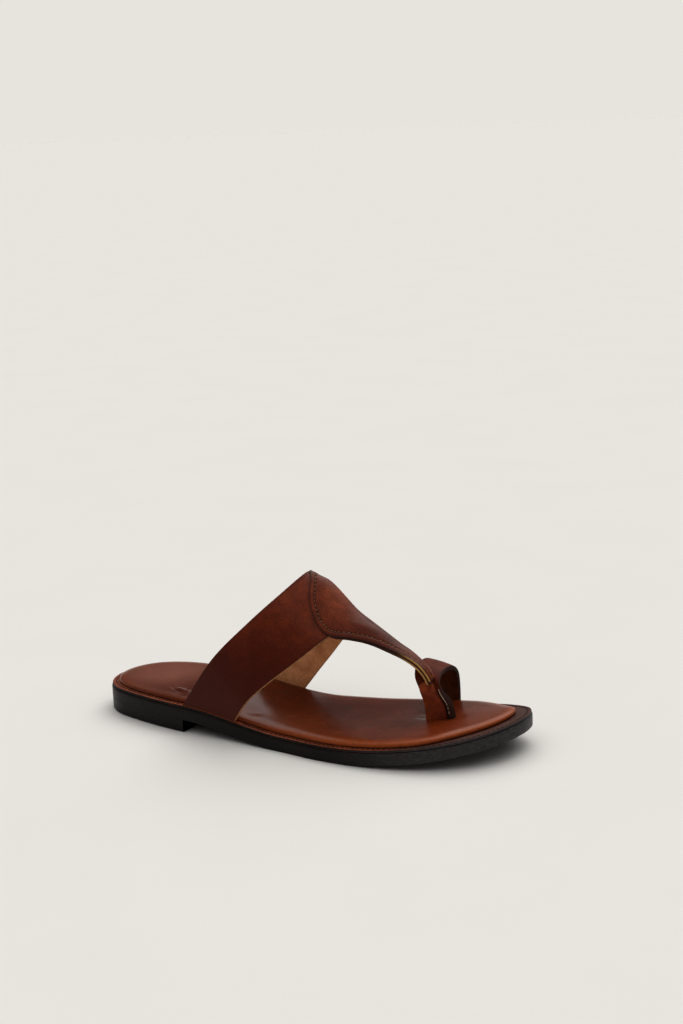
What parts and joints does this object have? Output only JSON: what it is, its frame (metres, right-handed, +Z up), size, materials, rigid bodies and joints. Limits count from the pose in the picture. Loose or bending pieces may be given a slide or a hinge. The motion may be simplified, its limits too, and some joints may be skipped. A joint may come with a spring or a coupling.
{
  "type": "kolhapuri sandal",
  "caption": "Flat brown leather toe-ring sandal: broad instep band, centre strap to a toe post, ring for the big toe, padded footbed, thin black sole with low heel.",
  "frame": {"origin": "on the floor under the middle of the sandal's box", "axes": "+X from heel to toe, +Y to the inner (big toe) side of the foot, +Z up"},
  "size_m": [0.2621, 0.0896, 0.0909],
  "materials": {
    "sole_black": "near-black sole edge, slightly glossy",
    "board_brown": "dark brown rim, satin",
    "footbed_leather": "smooth polished brown leather, lighter and more orange at the rolled edge",
    "upper_leather": "burnished reddish-brown leather with a fine grain, satin",
    "overlay_leather": "burnished reddish-brown leather with a fine grain, satin, stitched round its edge"
  },
  "bodies": {
    "root": {"outsole": "sole_black", "heel": "sole_black", "board": "board_brown", "footbed": "footbed_leather", "upper": "upper_leather", "centre_overlay": "overlay_leather"}
  },
  "joints": []
}
